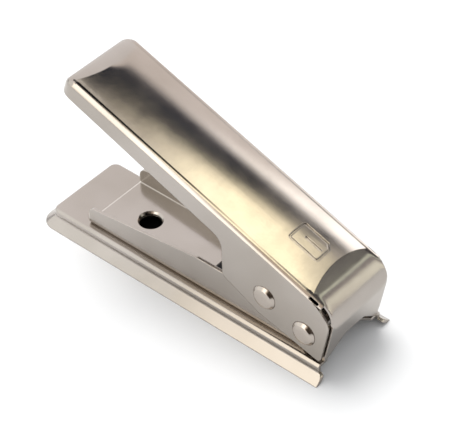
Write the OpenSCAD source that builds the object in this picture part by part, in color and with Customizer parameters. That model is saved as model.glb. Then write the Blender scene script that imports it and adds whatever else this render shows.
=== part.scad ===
// Sim card cutter: a hand press of bent steel sheet, with a small punch and die
// between the side walls. The origin is the middle of the footprint, at desk level.
// The handle end is at -X and the pivot end at +X. Everything is shown at rest,
// with the lever raised. Distances "ahead" are counted from the pivot towards -X.

/* [Sheet steel] */
// Thickness of the foot plate
base_t = 1.0; // [0.8:0.1:1.1]
// Thickness of the inner channel
channel_t = 1.0; // [0.8:0.1:1.1]
// Thickness of the lever shell
lever_t = 1.0; // [0.8:0.1:1.2]

/* [Foot plate] */
// Height of the flat top above the desk
base_h = 5.0; // [4.6:0.1:6]
// Room between the lever and the outer face of each web, seen from above
web_room = 0.5; // [0.3:0.1:1.5]
// How far the skirt flares out at the desk
skirt_flare = 2.9; // [2.2:0.1:3.6]
// Height of the crease between the web and the skirt
skirt_h = 2.4; // [1.8:0.1:2.8]
// Outer radius of the fold along the top
base_fold_r = 1.3; // [1.1:0.1:1.6]
// Radius of the inner bend at the crease
crease_r = 0.8; // [0.4:0.1:1.2]
// Radius of the front corners, on the webs
base_corner_r = 2.6; // [2:0.1:3.5]
// Distance from the pivot to the front edge of the skirt
base_ahead = 96.1; // [94:0.1:104]
// Distance from the pivot back to the ends of the two tabs
tab_behind = 7.3; // [6.6:0.1:7.8]
// Rounding of the tab ends
tab_r = 1.6; // [1:0.1:2]
// Width of the plate's edge beside the notch, under each foot of the flap
notch_land = 0.2; // [0.1:0.1:0.6]
// Distance from the pivot back to the centre of the notch
notch_behind = 11.7; // [11.2:0.1:12.2]

/* [Channel] */
// Distance from the pivot to the front end of the channel
channel_ahead = 80.1; // [76:0.1:86]
// Height of the walls above the foot plate at the front
wall_front_h = 6.5; // [5.5:0.1:7.5]
// Height of the walls above the foot plate at the top of the ramp
wall_h = 11.2; // [10.6:0.1:11.8]
// Height of the walls above the foot plate at their rear edge
wall_rear_h = 12.7; // [12:0.1:13.4]
// Distance from the pivot to the foot of the ramp
ramp_foot_ahead = 77.0; // [74:0.1:78]
// Distance from the pivot to the top of the ramp
ramp_top_ahead = 39.0; // [36:0.1:46]
// Rounding of the front upper corner of each wall
wall_corner_r = 2.8; // [1.5:0.1:3.5]
// Outer radius of the bend between floor and wall
channel_bend_r = 1.4; // [1.2:0.1:1.8]
// Distance from the pivot to the rear edge of the walls
wall_behind = 4.2; // [3.8:0.1:4.4]
// Rounding of the rear upper corner of each wall
wall_rear_r = 3.4; // [2:0.1:3.6]
// Gap between the foot plate and the walls behind the floor
ear_lift = 1.4; // [1:0.1:1.8]
// Distance from the pivot to the rear end of the floor
floor_end_ahead = 1.8; // [1.4:0.1:2]
// Diameter of the round hole in the floor
floor_hole_d = 6.5; // [5:0.1:7.5]
// Width of the chamfer round that hole
floor_hole_chamfer = 0.6; // [0.3:0.1:0.7]
// Distance from the pivot to the round hole
floor_hole_ahead = 66.5; // [58:0.1:70]

/* [Lever] */
// Angle of the raised lever above its closed position, in degrees
rest_angle = 19.3; // [16:0.1:19.5]
// Distance from the pivot to the front face of the lever
lever_ahead = 94.6; // [88:0.1:98]
// Height of the top panel's edge over the pivot axis
lever_top = 14.0; // [13.5:0.1:15]
// Rise of the crown above the edge of the panel
crown_h = 2.0; // [1.4:0.05:2.4]
// Flat ledge and fold on each side of the crown
crown_ledge = 1.9; // [1.8:0.1:2.6]
// Length of the slope at the crown's front end
crown_front_slope = 3.4; // [2.4:0.1:4.5]
// Distance from the pivot to the crease where the crown turns down to the bend
crown_rear_ahead = 5.5; // [4.5:0.1:7]
// Distance from the front face to the foot of the crown
crown_inset = 3.3; // [2.8:0.1:4.5]
// Outer radius of the fold along the flanges
lever_fold_r = 1.8; // [1.2:0.1:1.9]
// Radius of the rolled front edge
front_roll_r = 4.2; // [3:0.1:5]
// Rounding of the front corners, seen from above
lever_corner_r = 3.6; // [2:0.1:5]
// Height of the flange's lower edge at the front, over the pivot axis
flange_front_w = 8.0; // [7:0.1:9]
// Height of the flange's lower edge where it meets the ear
flange_rear_w = 6.6; // [6:0.1:7.5]
// Distance from the pivot to the upper end of the ear's front edge
ear_ahead = 32.5; // [30:0.1:34]
// Fillet between the flange's lower edge and the ear
ear_fillet_r = 5.0; // [3:0.1:7]
// Distance from the pivot to the lower end of the ear's front edge
ear_toe_ahead = 28.1; // [26:0.1:29]
// How far that end reaches below the pivot axis
ear_toe_drop = 5.3; // [4.5:0.1:6]
// Distance from the pivot to the ear's lowest point
ear_sole_ahead = 14.0; // [10:0.1:18]
// How far the lowest point reaches below the pivot axis
ear_drop = 7.1; // [6.5:0.1:7.5]
// How far the ear's rear corner reaches below the pivot axis
ear_heel_drop = 5.2; // [4.6:0.1:5.4]

/* [Rear flap] */
// Outer radius of the bend into the flap
flap_bend_r = 6.0; // [5.4:0.1:6.6]
// Distance from the pivot back to the centre of that bend
flap_bend_behind = 0.1; // [0:0.1:0.4]
// Angle by which the flap leans back from upright, in degrees
flap_lean = 9.5; // [8.5:0.1:10.5]
// Seam between the flap and each flange
flap_seam = 0.5; // [0.2:0.05:0.6]
// How far the rear edges of the flanges lie inside the flap's outer face
flange_back = 0.6; // [0.3:0.1:0.9]
// Radius of the flanges' upper rear corners
flange_rear_r = 8.2; // [6:0.1:9]
// Distance from the middle of the bend to the start of that seam
seam_behind = 0.9; // [0.6:0.1:1.2]
// Length of the relief slot at the end of each fold
relief_l = 3.2; // [2.5:0.1:4]
// Distance from the slot to the middle of the bend
relief_ahead = 0.4; // [0.2:0.1:0.6]
// Width of that slot
relief_w = 0.85; // [0.6:0.05:1]
// Height of the arched lower edge over the foot plate
arch_h = 6.0; // [4:0.1:6.6]
// Width of the arch at its top
arch_top_w = 8.4; // [7:0.1:10]
// Width of the arch at its knees
arch_knee_w = 14.8; // [13:0.1:16]
// Height of the knees over the foot plate
arch_knee_h = 3.2; // [2:0.1:4]
// Width of each of the flap's feet
arch_foot_w = 0.6; // [0.4:0.1:1.2]
// Rounding of the arch
arch_r = 3.2; // [2:0.1:3.6]

/* [Card mark] */
// Length of the card outline pressed into the lever
mark_l = 10.0; // [8:0.1:12]
// Width of that outline
mark_w = 6.5; // [5:0.1:8]
// Distance from the pivot to the rear end of the outline
mark_ahead = 9.0; // [8:0.1:12]
// Depth of the pressed lines
mark_depth = 0.3; // [0.2:0.05:0.4]
// Width of the pressed lines
mark_line = 0.6; // [0.4:0.05:0.8]
// Length of the chamfered corner's sides
mark_chamfer = 1.5; // [1:0.1:2]
// Length of the bar inside the outline
mark_bar_l = 5.2; // [4:0.1:6]

/* [Pins] */
// Height of the pivot axis above the desk
pivot_z = 13.5; // [13:0.02:13.8]
// How far the drive pin stays behind the middle of the punch when the lever is down
drive_lag = 0.57; // [0:0.01:0.8]
// Diameter of both pins
pin_d = 4.0; // [3.4:0.1:4.2]
// Diameter of the domed heads
head_d = 7.7; // [7:0.1:8]
// Height of the domed heads
head_h = 1.1; // [0.8:0.1:1.4]
// Diameter of the spacer tube on the drive pin
drive_tube_d = 5.2; // [5:0.1:5.3]
// Diameter of the spacer tube on the pivot pin
pivot_tube_d = 5.4; // [5:0.1:5.6]
// Thickness of the washers between lever and channel
washer_t = 0.6; // [0.3:0.05:0.8]
// Diameter of the washers
washer_d = 7.0; // [6.4:0.1:7.4]

/* [Card and die] */
// Length of the card that is cut out
cut_l = 15.0; // [14.5:0.1:15.5]
// Width of the card that is cut out
cut_w = 12.0; // [11.5:0.1:12.5]
// Chamfered corner of the card that is cut out
cut_chamfer = 2.5; // [2:0.1:3]
// Rounding of its other corners
cut_corner_r = 1.0; // [0.6:0.1:1.2]
// Width of the card that is put in
card_w = 15.0; // [14.8:0.1:15.2]
// Thickness of the card that is put in
card_t = 0.8; // [0.7:0.02:0.84]
// Thickness of the die
die_t = 2.2; // [1.8:0.1:2.3]
// Room over the card in its slot
card_room = 0.2; // [0.1:0.05:0.3]
// Width of the guides beside the card
guide_w = 2.8; // [2.6:0.1:3.2]
// Thickness of the punch guide
stripper_t = 3.4; // [3.2:0.1:3.6]
// Distance from the pivot to the front of the die and the card guides
die_ahead = 39.4; // [37:0.1:41]
// Distance from the pivot to the front of the punch guide
guide_ahead = 30.4; // [29.9:0.1:31.5]
// Distance from the pivot to the rear of the punch guide
stripper_end_ahead = 3.0; // [2.9:0.05:3.2]
// Distance from the pivot to the rear of the die
die_end_ahead = 2.3; // [2:0.1:2.6]
// Thickness of the stop bar behind the card
stop_t = 1.0; // [0.7:0.1:1.2]
// How far the punch enters the die when closed
punch_entry = 0.8; // [0.5:0.1:1.1]
// Metal above the cross slot of the punch
punch_cap = 1.6; // [1.2:0.1:2]
// Thickness of the bar that carries the punch
head_bar_t = 1.4; // [1.2:0.1:1.8]
// Width of that bar
head_bar_w = 8.0; // [6:0.1:10]
// Radius of the finger notch in the punch guide
finger_r = 8.0; // [7:0.1:9]
// Depth of that notch
finger_depth = 3.0; // [2:0.1:3.5]
// Size of the slug window beyond the card that is cut out, on each side
window_margin = 1.0; // [0.6:0.1:1.2]

/* [Fasteners and springs] */
// Diameter of the small screws
screw_d = 2.0; // [1.8:0.1:2.2]
// Diameter of their heads
screw_head_d = 3.6; // [3.2:0.1:3.8]
// Height of their heads
screw_head_h = 1.2; // [1:0.1:1.4]
// Distance from the pivot to the front die screws
die_screw_front_ahead = 28.2; // [27.8:0.1:28.6]
// Distance from the pivot to the rear die screws
die_screw_rear_ahead = 6.0; // [5.4:0.1:6.4]
// Diameter of the dowels
dowel_d = 1.6; // [1.2:0.1:1.8]
// Distance from the pivot to the dowels
dowel_ahead = 24.0; // [20:0.1:24.8]
// Distance of the screws in the bar from the middle of the punch
bar_screw_offset = 5.8; // [5.6:0.1:6]
// Depth of the bar's screws in the punch
bar_screw_depth = 4.5; // [3:0.1:6]
// Diameter of the guide posts
post_d = 1.8; // [1.6:0.1:2]
// Distance from the front of the punch to the middle of the front guide post
post_front_room = 2.8; // [2.3:0.1:3.4]
// Distance from the pivot to the rear guide post
post_rear_ahead = 5.25; // [5.2:0.05:5.35]
// Distance from that post's middle to the rear of the punch
post_rear_room = 2.25; // [2.1:0.05:2.4]
// Outer diameter of the return springs
spring_d = 3.6; // [3.2:0.1:3.7]
// Thickness of the spring wire
wire_d = 0.5; // [0.4:0.05:0.55]
// Number of turns of each spring
spring_turns = 7; // [5:1:7]

/* [Fits] */
// Clearance of fixed pins and screws in their holes
fixed_fit = 0.02; // [0.01:0.01:0.03]
// Gap under the flap's feet where they rest on the foot plate
seat_gap = 0.05; // [0.03:0.01:0.1]
// Radial clearance of pins that turn
turning_fit = 0.05; // [0.03:0.01:0.06]
// Clearance of the punch in the guide and the die
sliding_fit = 0.05; // [0.04:0.01:0.08]
// Clearance of the drive tube in the slot of the punch, up and down
slot_fit = 0.08; // [0.07:0.01:0.1]
// Clearance round screws that pass through
loose_fit = 0.1; // [0.05:0.01:0.2]
// Side clearance of the die set between the channel walls, and of the card between its guides
side_fit = 0.1; // [0.05:0.01:0.2]
// Room between each washer and the lever
washer_room = 0.1; // [0.05:0.01:0.3]
// Room round the drive tube where nothing touches it
tube_room = 0.3; // [0.25:0.05:0.4]

/* [Hidden] */
$fn = 48;

// Overrun of cuts beyond the faces that they open
over = base_t;
// Straight pieces that every rounded corner is made of
arc_steps = 6;
// Turns of the blocks that round the front corners of the lever, in degrees
corner_turns = [22.5, 45, 67.5];
// Card mark, off the middle plane as pressed
mark_y = -mark_line;
// Radius of the crown's rear end as a share of the crown's own
crown_rear_share = 1.6;
// Depth at which the crown's rear end runs into the bend
crown_entry = 0.05;
// Flat end of each dome, as a share of the head
dome_flat_share = 0.55;
// Chamfer on the lower edges of the die, clear of the bend in the channel
die_edge = channel_bend_r - channel_t + side_fit;

// Levels of the stack, from the desk up
slot_h = card_t + card_room;
floor_z = base_h + channel_t;
die_z = floor_z + die_t;
slot_z = die_z + slot_h;
guide_z = slot_z + stripper_t;

// Pivot, with the origin in the middle of the footprint
flap_bend_w = lever_top - flap_bend_r;
seam_x = flap_bend_behind + seam_behind;
reach_behind = max(tab_behind,
    flap_bend_r + flap_bend_behind * cos(rest_angle) + flap_bend_w * sin(rest_angle));
pivot_x = (base_ahead - reach_behind) / 2;

// Half widths, from the card in the middle out to the foot plate
slot_half = card_w / 2 + side_fit;
block_half = slot_half + guide_w;
channel_in = block_half + side_fit;
channel_half = channel_in + channel_t;
lever_in = channel_half + washer_t + washer_room;
lever_half = lever_in + lever_t;
flap_half = lever_in - flap_seam;
web_half = lever_half + web_room;
notch_r = flap_half - notch_land;
die_screw_y = (slot_half + block_half) / 2;

// Punch and front post, in step with the card that is cut
punch_ahead = post_rear_ahead + post_rear_room + cut_l / 2;
post_front_ahead = punch_ahead + cut_l / 2 + post_front_room;

// Drive pin, raised and closed, and what the punch does with it
drive_arm = punch_ahead - drive_lag;
drive_x = pivot_x - drive_arm * cos(rest_angle);
drive_z = pivot_z + drive_arm * sin(rest_angle);
stroke = drive_z - pivot_z;
tube_r = drive_tube_d / 2;
punch_bottom = die_z - punch_entry + stroke;
punch_top = drive_z + tube_r + slot_fit + punch_cap;
bar_top = punch_top + head_bar_t;
post_top = bar_top + head_bar_t / 2;

// Crown of the lever, an arc over its chord
crown_half = lever_half - crown_ledge;
crown_r = (pow(crown_half, 2) + pow(crown_h, 2)) / (2 * crown_h);
crown_rear_r = crown_r * crown_rear_share;
// Dip of the crest's rear end, in degrees, which runs into the first edge of the bend
bend_step = (90 - flap_lean) / arc_steps;
to_bend = [crown_rear_ahead + flap_bend_behind, lever_top + crown_h - flap_bend_w]
    - (flap_bend_r - crown_entry) * [-sin(bend_step), cos(bend_step)];
crown_rear_dip = atan2(to_bend[1], to_bend[0]);
crown_end = flap_bend_behind + flap_bend_r * sin(bend_step);

// Springs, from the punch guide up to the bar
rings_per_turn = 8;
wire_sides = 6;
spring_length = punch_top - guide_z - 2 * fixed_fit;
coil_rise = (spring_length - wire_d) / (spring_turns * rings_per_turn);

function unit(v) = v / norm(v);

// Points that round vertex b between a and c, each written [x, y, radius]
function corner(a, b, c) =
    let (
        at = [b[0], b[1]],
        r = b[2],
        to_a = unit([a[0], a[1]] - at),
        to_c = unit([c[0], c[1]] - at),
        half = acos(to_a * to_c) / 2,
        centre = at + unit(to_a + to_c) * r / sin(half),
        start = at + to_a * r / tan(half) - centre,
        end = at + to_c * r / tan(half) - centre,
        from = atan2(start[1], start[0]),
        turn = (atan2(end[1], end[0]) - from + 540) % 360 - 180
    )
    r == 0 ? [at] : [for (i = [0:arc_steps])
        centre + r * [cos(from + turn * i / arc_steps), sin(from + turn * i / arc_steps)]];

// Outline through the vertices, each rounded by its own radius
function outline(p) = [for (i = [0:len(p) - 1])
    each corner(p[(i + len(p) - 1) % len(p)], p[i], p[(i + 1) % len(p)])];

// Outline of the small card, with one chamfered corner
function card_outline(l, w, r, chamfer, grow = 0) =
    let (x = l / 2 + grow, y = w / 2 + grow, c = chamfer + grow / 2)
    outline([[-x, -y, r + grow], [x, -y, r + grow], [x, y - c, 0], [x - c, y, 0], [-x, y, r + grow]]);

// Stands a drawing of X and Z upright and gives it a width along Y, centred
module side_plate(width) {
    translate([0, width / 2, 0]) rotate([90, 0, 0]) linear_extrude(width) children();
}

// Runs a drawing of Y and Z along X
module along(x0, x1) {
    translate([x0, 0, 0]) rotate([90, 0, 90]) linear_extrude(x1 - x0) children();
}

// Places a piece ahead of the pivot, in the middle plane
module ahead(distance, z = 0) {
    translate([pivot_x - distance, 0, z]) children();
}

// Round bar across the middle plane
module cross_bar(d, width) {
    rotate([90, 0, 0]) cylinder(d = d, h = width, center = true);
}

// The lever is drawn closed, about its pivot, and turned up to its rest
module raised() {
    translate([pivot_x, 0, pivot_z]) rotate([0, rest_angle, 0]) children();
}

// Foot plate

// Section of the pressed rim: fold, web, crease and flared skirt.
// The outer face of the web is at zero and the outside is at +X.
module rim_section() {
    lean = atan2(skirt_flare, skirt_h);
    polygon(outline([
        [-base_corner_r, base_h, 0],
        [0, base_h, base_fold_r],
        [0, skirt_h, crease_r],
        [skirt_flare, 0, 0],
        [skirt_flare - base_t / cos(lean), 0, 0],
        [-base_t, skirt_h - base_t * tan(lean / 2), crease_r + base_t],
        [-base_t, base_h - base_t, base_fold_r - base_t],
        [-base_corner_r, base_h - base_t, 0]
    ]));
}

module rim_side(x0, x1) {
    translate([0, web_half, 0]) along(x0, x1) rim_section();
}

module rim_corner(x, y) {
    translate([x, y, 0]) rotate([0, 0, 90])
        rotate_extrude(angle = 90) intersection() {
            translate([base_corner_r, 0]) rim_section();
            square([2 * web_half, 2 * base_h]);
        }
}

// Everything behind the rounded ends of the tabs
module tab_cut(x) {
    side_plate(4 * web_half) difference() {
        translate([x - tab_r, skirt_h - tab_r]) square([2 * tab_r + skirt_flare, 2 * base_h]);
        translate([x - tab_r, skirt_h - tab_r]) circle(r = tab_r);
    }
}

module base_plate() {
    web_x = pivot_x - base_ahead + skirt_flare;
    corner_x = web_x + base_corner_r;
    corner_y = web_half - base_corner_r;
    tab_x = pivot_x + tab_behind;
    color("silver") difference() {
        union() {
            for (side = [0, 1]) mirror([0, side, 0]) {
                rim_side(corner_x, tab_x);
                rim_corner(corner_x, corner_y);
            }
            translate([web_x, -corner_y, 0]) rotate([90, 0, 180])
                linear_extrude(2 * corner_y) rim_section();
            translate([corner_x, -corner_y, base_h - base_t])
                cube([tab_x - corner_x, 2 * corner_y, base_t]);
        }
        tab_cut(tab_x);
        translate([pivot_x + notch_behind, 0, 0]) cylinder(r = notch_r, h = 2 * base_h);
        ahead(floor_hole_ahead) cylinder(d = floor_hole_d, h = 2 * base_h);
        slug_window(base_h - base_t, base_t);
        die_screw_holes(0, 2 * base_h, screw_d + 2 * loose_fit);
    }
}

// Opening under the die through which the cut card falls
module slug_window(z, t) {
    ahead(punch_ahead, z - over) linear_extrude(t + 2 * over)
        polygon(card_outline(cut_l, cut_w, cut_corner_r, 0, window_margin));
}

// Channel

// Section of the channel, floor and walls, seen along X
module channel_section() {
    top = base_h + wall_h;
    polygon(outline([
        [-channel_half, top, 0], [-channel_half, base_h, channel_bend_r],
        [channel_half, base_h, channel_bend_r], [channel_half, top, 0],
        [channel_in, top, 0], [channel_in, floor_z, channel_bend_r - channel_t],
        [-channel_in, floor_z, channel_bend_r - channel_t], [-channel_in, top, 0]
    ]));
}

// Outline of the walls from the side: low front, ramp, pivot ear and lifted rear
module channel_side() {
    front = pivot_x - channel_ahead;
    top = base_h + wall_h;
    difference() {
        polygon(outline([
            [front, base_h, 0],
            [front, base_h + wall_front_h, wall_corner_r],
            [pivot_x - ramp_foot_ahead, base_h + wall_front_h, wall_corner_r],
            [pivot_x - ramp_top_ahead, top, wall_corner_r],
            [pivot_x + wall_behind, base_h + wall_rear_h, wall_rear_r],
            [pivot_x + wall_behind, base_h + ear_lift, 2 * ear_lift],
            [pivot_x - floor_end_ahead + ear_lift, base_h + ear_lift, 0],
            [pivot_x - floor_end_ahead, base_h, 0]
        ]));
        drive_slot_2d(tube_r + tube_room, tube_r + slot_fit);
    }
}

// Path of the drive tube, from rest down to the closed position, open upwards
module drive_slot_2d(side_room, foot_room) {
    rest_gap = drive_arm - drive_arm * cos(rest_angle);
    translate([drive_x - rest_gap - side_room, pivot_z])
        square([rest_gap + 2 * side_room, 2 * stroke + guide_z]);
    for (x = [drive_x - rest_gap, drive_x])
        translate([x, pivot_z + side_room - foot_room]) circle(r = side_room);
    translate([drive_x - rest_gap, pivot_z - foot_room]) square([rest_gap, foot_room]);
}

module frame_channel() {
    color("silver") difference() {
        intersection() {
            along(pivot_x - channel_ahead - over, pivot_x + 2 * wall_behind) channel_section();
            side_plate(4 * channel_half) channel_side();
        }
        translate([pivot_x, 0, pivot_z]) cross_bar(pin_d + 2 * fixed_fit, 4 * channel_half);
        ahead(floor_hole_ahead, base_h - over) cylinder(d = floor_hole_d, h = channel_t + 2 * over);
        ahead(floor_hole_ahead, floor_z - floor_hole_chamfer)
            cylinder(d1 = floor_hole_d, d2 = floor_hole_d + 4 * floor_hole_chamfer,
                h = 2 * floor_hole_chamfer);
        slug_window(base_h, channel_t);
        die_screw_holes(0, floor_z + over, screw_d + 2 * loose_fit);
    }
}

// Die set

module die_screw_places() {
    for (x = [die_screw_front_ahead, die_screw_rear_ahead], y = [-die_screw_y, die_screw_y])
        translate([pivot_x - x, y, 0]) children();
}

module die_screw_holes(z0, z1, d) {
    die_screw_places() translate([0, 0, z0]) cylinder(d = d, h = z1 - z0);
}

module dowel_holes(z0, z1, d) {
    for (y = [-die_screw_y, die_screw_y])
        translate([pivot_x - dowel_ahead, y, z0]) cylinder(d = d, h = z1 - z0);
}

// Opening of the card's shape with the punch's clearance
module card_opening(z0, z1) {
    ahead(punch_ahead, z0) linear_extrude(z1 - z0)
        polygon(card_outline(cut_l, cut_w, cut_corner_r, cut_chamfer, sliding_fit));
}

module die_block() {
    front = pivot_x - die_ahead;
    rear = pivot_x - die_end_ahead;
    color("dimgray") difference() {
        along(front, rear) polygon(outline([
            [-block_half + die_edge, floor_z, 0], [block_half - die_edge, floor_z, 0],
            [block_half, floor_z + die_edge, 0], [block_half, die_z, 0],
            [-block_half, die_z, 0], [-block_half, floor_z + die_edge, 0]
        ]));
        card_opening(floor_z - over, die_z + over);
        slug_window(floor_z, die_t / 2 - over);
        translate([front, 0, die_z]) rotate([0, 45, 0])
            cube([die_t, 2 * slot_half, die_t], center = true);
        die_screw_holes(floor_z - over, die_z + over, screw_d + 2 * loose_fit);
        dowel_holes(floor_z - over, die_z + over, dowel_d + 2 * fixed_fit);
    }
}

// Side guide of the card slot, with a lead-in for the card
module card_guide() {
    front = pivot_x - die_ahead;
    rear = pivot_x - die_end_ahead;
    lead = 2 * slot_h;
    color("gray") difference() {
        translate([0, 0, die_z]) linear_extrude(slot_h) polygon([
            [front, slot_half + slot_h], [front + lead, slot_half], [rear, slot_half],
            [rear, block_half], [front, block_half]
        ]);
        die_screw_holes(die_z - over, slot_z + over, screw_d + 2 * loose_fit);
        dowel_holes(die_z - over, slot_z + over, dowel_d + 2 * fixed_fit);
    }
}

module card_stop() {
    rear = pivot_x - die_end_ahead;
    color("gray") translate([rear - stop_t, -slot_half + fixed_fit, die_z])
        cube([stop_t, 2 * (slot_half - fixed_fit), slot_h]);
}

module punch_guide() {
    front = pivot_x - guide_ahead;
    rear = pivot_x - stripper_end_ahead;
    color("dimgray") difference() {
        translate([front, -block_half, slot_z]) cube([rear - front, 2 * block_half, stripper_t]);
        card_opening(slot_z - over, guide_z + over);
        translate([front - finger_r + finger_depth, 0, slot_z - over])
            cylinder(r = finger_r, h = stripper_t + 2 * over);
        side_plate(2 * block_half + 2 * over) drive_slot_2d(tube_r + tube_room, tube_r + tube_room);
        die_screw_holes(slot_z - over, guide_z - stripper_t / 4, screw_d + 2 * fixed_fit);
        dowel_holes(slot_z - over, guide_z - stripper_t / 4, dowel_d + 2 * fixed_fit);
        for (x = [post_front_ahead, post_rear_ahead])
            ahead(x, slot_z - over) cylinder(d = post_d + 2 * fixed_fit, h = stripper_t + 2 * over);
    }
}

// Cheese-head screw pointing up, its seat at zero
module screw(length) {
    cylinder(d = screw_d, h = length);
    translate([0, 0, -screw_head_h]) difference() {
        cylinder(d = screw_head_d, h = screw_head_h);
        translate([-screw_head_d / 2, -screw_head_h / 4, -over])
            cube([screw_head_d, screw_head_h / 2, over + screw_head_h / 2]);
    }
}

module die_screws() {
    length = guide_z - stripper_t / 2 - base_h + base_t;
    color("lightgray") die_screw_places() translate([0, 0, base_h - base_t]) screw(length);
}

module dowels() {
    color("lightgray") dowel_holes(floor_z + fixed_fit, guide_z - stripper_t / 3, dowel_d);
}

module guide_posts() {
    color("lightgray") for (x = [post_front_ahead, post_rear_ahead])
        ahead(x, slot_z + fixed_fit) cylinder(d = post_d, h = post_top - slot_z);
}

// Pins

// Half of a domed head seen in section, seated on zero
module dome_section() {
    polygon(outline([
        [0, 0, 0], [head_d / 2, 0, 0],
        [head_d / 2 * (1 + dome_flat_share) / 2, head_h * (1 + dome_flat_share) / 2, head_h / 2],
        [head_d / 2 * dome_flat_share, head_h, head_h / 2],
        [0, head_h, 0]
    ]));
}

// Cross pin with a domed head against each outer face
module headed_pin(seat) {
    cross_bar(pin_d, 2 * seat + fixed_fit);
    for (side = [0, 1]) mirror([0, side, 0])
        translate([0, seat, 0]) rotate([-90, 0, 0]) rotate_extrude() dome_section();
}

// Spacer tube on a pin
module spacer_tube(d, bore, width) {
    difference() {
        cross_bar(d, width);
        cross_bar(bore, width + 2 * over);
    }
}

module pivot_pin() {
    color("gainsboro") translate([pivot_x, 0, pivot_z]) headed_pin(lever_half + turning_fit);
}

module pivot_tube() {
    color("gray") translate([pivot_x, 0, pivot_z])
        spacer_tube(pivot_tube_d, pin_d + 2 * fixed_fit, 2 * (channel_in - fixed_fit));
}

module pivot_washers() {
    color("lightgray") for (side = [0, 1]) mirror([0, side, 0])
        translate([pivot_x, channel_half, pivot_z]) rotate([-90, 0, 0]) difference() {
            cylinder(d = washer_d, h = washer_t);
            translate([0, 0, -over]) cylinder(d = pin_d + 2 * turning_fit, h = washer_t + 2 * over);
        }
}

module drive_pin() {
    color("gainsboro") raised() translate([-drive_arm, 0, 0]) headed_pin(lever_half);
}

module drive_tube() {
    color("gray") raised() translate([-drive_arm, 0, 0])
        spacer_tube(drive_tube_d, pin_d + 2 * fixed_fit, 2 * (lever_in - fixed_fit));
}

// Lever. Here X is the distance along the closed lever and Y of a drawing its height.

// Place along the flap's face at a height, for a face that lies inside the outer one
function flap_x(inset, w) = flap_bend_behind
    + (flap_bend_r - inset - (w - flap_bend_w) * sin(flap_lean)) / cos(flap_lean);

// Side outline of the shell: rolled front, top panel and bend into the flap
module lever_profile(inset) {
    top = lever_top - inset;
    low = -2 * ear_drop - inset;
    polygon(outline([
        [-lever_ahead + inset, low, 0],
        [-lever_ahead + inset, top, front_roll_r - inset],
        [flap_x(inset, top), top, flap_bend_r - inset],
        [flap_x(inset, low), low, 0]
    ]));
}

// Section of the shell across the lever, without the crown
module lever_section(inset) {
    half = lever_half - inset;
    top = lever_top - inset;
    low = -2 * ear_drop - inset;
    polygon(outline([
        [-half, low, 0], [-half, top, lever_fold_r - inset],
        [half, top, lever_fold_r - inset], [half, low, 0]
    ]));
}

// Outline of the shell from above
module lever_plan(inset) {
    half = lever_half - inset;
    front = -lever_ahead + inset;
    polygon(outline([
        [front, -half, lever_corner_r - inset], [3 * flap_bend_r, -half, 0],
        [3 * flap_bend_r, half, 0], [front, half, lever_corner_r - inset]
    ]));
}

// The crown: a shallow arc across the lever, with a slope at its front end and a flatter arc
// that runs down into the bend at its rear end
module crown(inset) {
    front_shift = inset * tan(atan2(crown_h, crown_front_slope) / 2);
    low = lever_top - inset - lever_t / 2;
    below = lever_t / 2 / crown_h;
    top = lever_top - inset + crown_h;
    front = -lever_ahead + crown_inset + front_shift;
    intersection() {
        along(-lever_ahead, flap_bend_r) intersection() {
            translate([0, lever_top + crown_h - crown_r]) circle(r = crown_r - inset, $fn = 4 * $fn);
            translate([-crown_half, low]) square([2 * crown_half, crown_h + lever_t]);
        }
        side_plate(2 * lever_half) polygon([
            [front - crown_front_slope * below, low],
            [front + crown_front_slope, top],
            [front + crown_front_slope, top + over],
            [crown_end, top + over],
            [crown_end, low]
        ]);
        translate([-crown_rear_ahead, 0, lever_top + crown_h]) rotate([0, crown_rear_dip, 0])
            translate([0, 0, -crown_rear_r]) rotate([0, 90, 0])
                cylinder(r = crown_rear_r - inset, h = 3 * lever_ahead, center = true, $fn = 4 * $fn);
    }
}

// Block with one rounded edge, turned about a front corner of the plan. Its rounding changes
// from that of the rolled front to that of the folds as it turns.
module corner_block(inset, side, turn) {
    share = turn / 90;
    roll_r = front_roll_r * (1 - share) + lever_fold_r * share;
    face = -lever_corner_r + inset;
    top = lever_top - inset;
    translate([lever_corner_r - lever_ahead, side * (lever_half - lever_corner_r), 0])
        rotate([0, 0, -side * turn]) side_plate(4 * lever_ahead) polygon(outline([
            [face, -3 * ear_drop, 0], [face, top, roll_r - inset],
            [2 * lever_ahead, top, 0], [2 * lever_ahead, -3 * ear_drop, 0]
        ]));
}

// Whole outside of the shell, or with an inset the room inside it
module lever_form(inset) {
    intersection() {
        side_plate(2 * (lever_half - inset)) lever_profile(inset);
        along(-lever_ahead - over, 2 * flap_bend_r) lever_section(inset);
        translate([0, 0, -3 * ear_drop]) linear_extrude(6 * ear_drop) lever_plan(inset);
        corner_rounding(inset);
    }
    crown(inset);
}

// The blocks at both front corners, and what they have in common
module corner_rounding(inset) {
    intersection_for(side = [-1, 1])
        intersection_for(turn = corner_turns) corner_block(inset, side, turn);
}

// Outline of one flange, from the front edge to the seam beside the flap
module flange_side() {
    front = -lever_ahead - over;
    shoulder = lever_top - lever_t;
    polygon(outline([
        [front, flange_front_w, 0],
        [-ear_ahead, flange_rear_w, ear_fillet_r],
        [-ear_toe_ahead, -ear_toe_drop, 2 * lever_t],
        [-ear_sole_ahead, -ear_drop, 8 * lever_t],
        [flap_x(flange_back, -ear_heel_drop), -ear_heel_drop, lever_t],
        [flap_x(flange_back, shoulder), shoulder, flange_rear_r],
        [seam_x, shoulder, 0],
        [seam_x, 2 * lever_top, 0],
        [front, 2 * lever_top, 0]
    ]));
}

// What is cut away beside one flange: all outside its outline, and the seam along the flap
module flange_cut() {
    far = 2 * lever_ahead;
    translate([0, flap_half + lever_half, 0]) side_plate(2 * lever_half) difference() {
        translate([-lever_ahead - over, -far]) square([far, 2 * far]);
        flange_side();
    }
    translate([seam_x, flap_half, -far]) cube([far, flap_seam, 2 * far]);
}

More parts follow.
